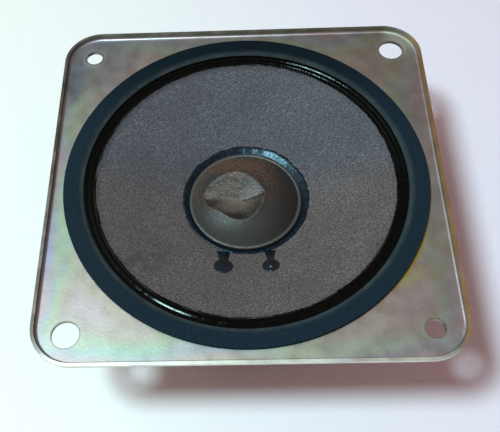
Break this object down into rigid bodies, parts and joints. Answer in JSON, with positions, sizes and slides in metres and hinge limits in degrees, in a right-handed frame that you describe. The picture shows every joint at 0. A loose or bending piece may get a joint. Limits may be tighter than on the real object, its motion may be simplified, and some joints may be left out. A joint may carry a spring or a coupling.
{
  "type": "cone loudspeaker",
  "caption": "Square-flanged paper-cone car loudspeaker with a pressed steel basket, felt gasket, ferrite magnet, rear solder tags and a series capacitor.",
  "frame": {"origin": "on the cone's axis, at the rear face of the magnet assembly, which the part rests on", "axes": "+Z along the cone's axis, out of the front; -Y towards the terminals; X and Y square to the flange's sides"},
  "size_m": [0.1, 0.1, 0.0382],
  "materials": {
    "frame_plating": "zinc plate with thin yellow chromate, satin",
    "gasket_felt": "dense felt, matte",
    "edge_dope": "doped cloth, glossy",
    "cone_paper": "pulp paper, matte",
    "cap_paper": "pressed paper, slight sheen",
    "black_cement": "cured cement, glossy",
    "eyelet_brass": "dull brass",
    "former_paper": "kraft paper",
    "coil_copper": "enamelled copper wire",
    "amber_cement": "cured amber cement",
    "spider_cloth": "resin-treated cotton",
    "tinsel_braid": "braided copper tinsel",
    "ferrite": "sintered ferrite, matte",
    "plate_plating": "zinc plate with thin yellow chromate, satin",
    "rivet_steel": "plated steel",
    "phenolic": "paper phenolic laminate",
    "tinned_brass": "tinned brass, satin",
    "solder": "solder, bright",
    "can_sleeve": "shrink sleeve, semi-gloss",
    "seal_rubber": "rubber",
    "lead_wire": "tinned copper wire",
    "hot_melt": "translucent hot-melt adhesive"
  },
  "bodies": {
    "chassis": {"basket_frame": "frame_plating", "front_gasket": "gasket_felt", "surround": "edge_dope", "spider": "spider_cloth", "back_plate": "plate_plating", "pole_piece": "plate_plating", "magnet": "ferrite", "top_plate": "plate_plating", "frame_rivets": "rivet_steel", "tag_board": "phenolic", "positive_tag": "tinned_brass", "negative_tag": "tinned_brass", "coil_tag": "tinned_brass", "tag_rivets": "tinned_brass", "board_rivets": "rivet_steel", "solder_joints": "solder", "capacitor_can": "can_sleeve", "capacitor_seals": "seal_rubber", "capacitor_glue": "hot_melt", "tinsel_lead_left": "tinsel_braid", "tinsel_lead_right": "tinsel_braid", "capacitor_lead_input": "lead_wire", "capacitor_lead_coil": "lead_wire"},
    "diaphragm": {"cone": "cone_paper", "dust_cap": "cap_paper", "cap_glue": "black_cement", "lead_eyelets": "eyelet_brass", "lead_dabs": "black_cement", "coil_former": "former_paper", "coil_winding": "coil_copper", "neck_glue": "amber_cement"}
  },
  "joints": [
    {"name": "cone_travel", "type": "slide", "parent": "chassis", "child": "diaphragm", "axis": [0, 0, 1], "range_m": [-0.001, 0.001], "stiffness_N_per_m": 1500, "deforming": ["surround", "spider", "tinsel_lead_left", "tinsel_lead_right"]}
  ]
}
